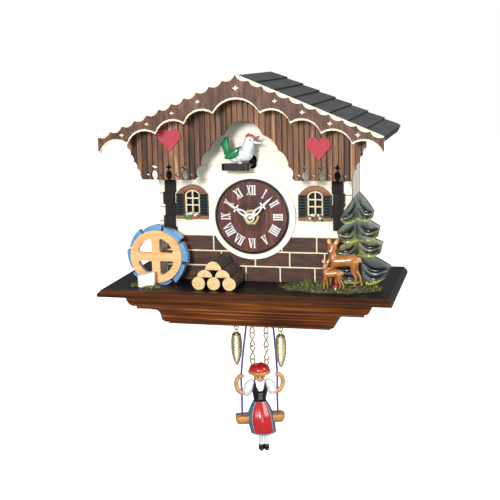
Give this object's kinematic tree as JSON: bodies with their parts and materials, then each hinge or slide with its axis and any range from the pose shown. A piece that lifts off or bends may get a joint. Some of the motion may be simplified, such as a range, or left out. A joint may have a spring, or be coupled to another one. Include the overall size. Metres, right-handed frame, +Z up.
{
  "type": "cuckoo clock",
  "caption": "Wall-hung chalet cuckoo clock with gabled roof, round dial and hands, nodding bird, turning water wheel, hanging pine cones, chains and a figure on a swing.",
  "frame": {"origin": "centre of the round hanging hole, in the plane of the wall that the clock hangs on", "axes": "+Z up, +Y into the wall, +X to the right of someone who faces the clock, so the dial faces -Y"},
  "size_m": [0.21, 0.112, 0.2853],
  "materials": {
    "stained_wood": "dark stained and lacquered",
    "cream_paint": "matt cream paint on plywood",
    "plywood": "bare birch plywood",
    "brass_plate": "plain brass",
    "walnut": "fine-grained walnut veneer, oiled",
    "slate_grey": "matt dark grey paint on wood",
    "reeded_wood": "reeded and antiqued walnut",
    "red_felt": "fine textured red",
    "dark_post": "dark brown stain",
    "brick_brown": "dark brown with cream joints",
    "window_brown": "mid-brown stain",
    "window_cream": "cream",
    "black_pane": "black backing behind the panes",
    "shutter_green": "dark green paint",
    "dial_wood": "red-brown stained wood with turned rings",
    "black_lacquer": "black gloss",
    "white_plastic": "white moulded plastic",
    "black_plastic": "black moulded plastic",
    "battery_wrap": "printed sleeve with no lettering",
    "bark": "bark with pale cut ends",
    "moss": "flock and dyed moss",
    "tree_paint": "carved and painted dark green",
    "deer_paint": "painted tan",
    "chain_brass": "brassed wire",
    "steel": "bright steel",
    "cap_brass": "pale polished brass",
    "bird_paint": "white and green gloss paint",
    "pale_wood": "light natural wood",
    "blue_paint": "light blue paint",
    "cord_blue": "blue twisted cord",
    "seat_wood": "tan round-edged wood",
    "doll_paint": "painted dress, hat and shoes",
    "doll_skin": "tan and white paint",
    "cone_brass": "antique gold"
  },
  "bodies": {
    "house": {"base_board": "stained_wood", "upper_moulding": "stained_wood", "lower_moulding": "stained_wood", "left_wall": "cream_paint", "right_wall": "cream_paint", "front_wall": "cream_paint", "back_panel": "plywood", "hanger_plate": "brass_plate", "left_roof": "walnut", "right_roof": "walnut", "left_shingles": "slate_grey", "right_shingles": "slate_grey", "bargeboard": "walnut", "bargeboard_backing": "cream_paint", "gable_panel": "reeded_wood", "hearts": "red_felt", "corner_posts": "dark_post", "brick_panel": "brick_brown", "window_frames": "window_brown", "window_bars": "window_cream", "window_panes": "black_pane", "shutters": "shutter_green", "dial": "dial_wood", "dial_rim": "black_lacquer", "numerals": "white_plastic", "movement_case": "black_plastic", "shaft_nut": "brass_plate", "speaker": "black_plastic", "battery": "battery_wrap", "log_pile": "bark", "moss_patch": "moss", "tree": "tree_paint", "doe": "deer_paint", "fawn": "deer_paint", "wheel_bushing": "brass_plate", "pendulum_drive": "black_plastic", "chain_hooks": "chain_brass", "case_screws": "steel"},
    "minute": {"minute_hand": "white_plastic", "hand_cap": "cap_brass", "minute_arbor": "brass_plate"},
    "hour": {"hour_hand": "white_plastic", "hour_wheel": "brass_plate"},
    "motion": {"motion_wheel": "brass_plate"},
    "bird": {"bird_body": "bird_paint", "bird_perch": "black_lacquer"},
    "water_wheel": {"wheel_disc": "pale_wood", "wheel_paddles": "blue_paint", "wheel_axle": "steel"},
    "swing": {"swing_hanger": "steel", "swing_cords": "cord_blue", "swing_seat": "seat_wood", "doll_figure": "doll_paint", "doll_arms": "doll_skin"},
    "left_chain_body": {"left_chain": "chain_brass"},
    "right_chain_body": {"right_chain": "chain_brass"},
    "left_cone_body": {"left_cone": "cone_brass"},
    "right_cone_body": {"right_cone": "cone_brass"},
    "cover": {"battery_door": "black_plastic"},
    "switch": {"sound_switch": "black_plastic"}
  },
  "joints": [
    {"name": "minute_spin", "type": "hinge", "parent": "house", "child": "minute", "pos_m": [0, -0.07, -0.0728], "axis": [0, 1, 0], "continuous": true},
    {"name": "hour_spin", "type": "hinge", "parent": "house", "child": "hour", "pos_m": [0, -0.07, -0.0728], "axis": [0, 1, 0], "continuous": true},
    {"name": "motion_spin", "type": "hinge", "parent": "house", "child": "motion", "pos_m": [0.01, -0.057, -0.0728], "axis": [0, 1, 0], "continuous": true},
    {"name": "bird_nod", "type": "hinge", "parent": "house", "child": "bird", "pos_m": [-0.001, -0.0574, -0.0338], "axis": [1, 0, 0], "range_deg": [-8, 6], "stiffness_Nm_per_rad": 0.05},
    {"name": "wheel_spin", "type": "hinge", "parent": "house", "child": "water_wheel", "pos_m": [-0.068, -0.08, -0.1006], "axis": [0, 1, 0], "continuous": true},
    {"name": "swing_sway", "type": "hinge", "parent": "house", "child": "swing", "pos_m": [0, -0.055, -0.1355], "axis": [1, 0, 0], "range_deg": [-8, 8]},
    {"name": "left_chain_sway", "type": "hinge", "parent": "house", "child": "left_chain_body", "pos_m": [-0.0112, -0.032, -0.138], "axis": [1, 0, 0], "range_deg": [-3, 14]},
    {"name": "right_chain_sway", "type": "hinge", "parent": "house", "child": "right_chain_body", "pos_m": [-0.0002, -0.032, -0.138], "axis": [1, 0, 0], "range_deg": [-3, 14]},
    {"name": "left_cone_sway", "type": "hinge", "parent": "house", "child": "left_cone_body", "pos_m": [-0.0172, -0.057, -0.157], "axis": [1, 0, 0], "range_deg": [-15, 15]},
    {"name": "right_cone_sway", "type": "hinge", "parent": "house", "child": "right_cone_body", "pos_m": [0.0168, -0.057, -0.157], "axis": [1, 0, 0], "range_deg": [-15, 15]},
    {"name": "cover_slide", "type": "slide", "parent": "house", "child": "cover", "axis": [0, 0, 1], "range_m": [0, 0.035]},
    {"name": "switch_slide", "type": "slide", "parent": "house", "child": "switch", "axis": [1, 0, 0], "range_m": [-0.0028, 0.0028]}
  ],
  "couplings": [
    {"joint": "hour_spin", "follows": "minute_spin", "ratio": 0.083333},
    {"joint": "motion_spin", "follows": "minute_spin", "ratio": -0.33333}
  ]
}
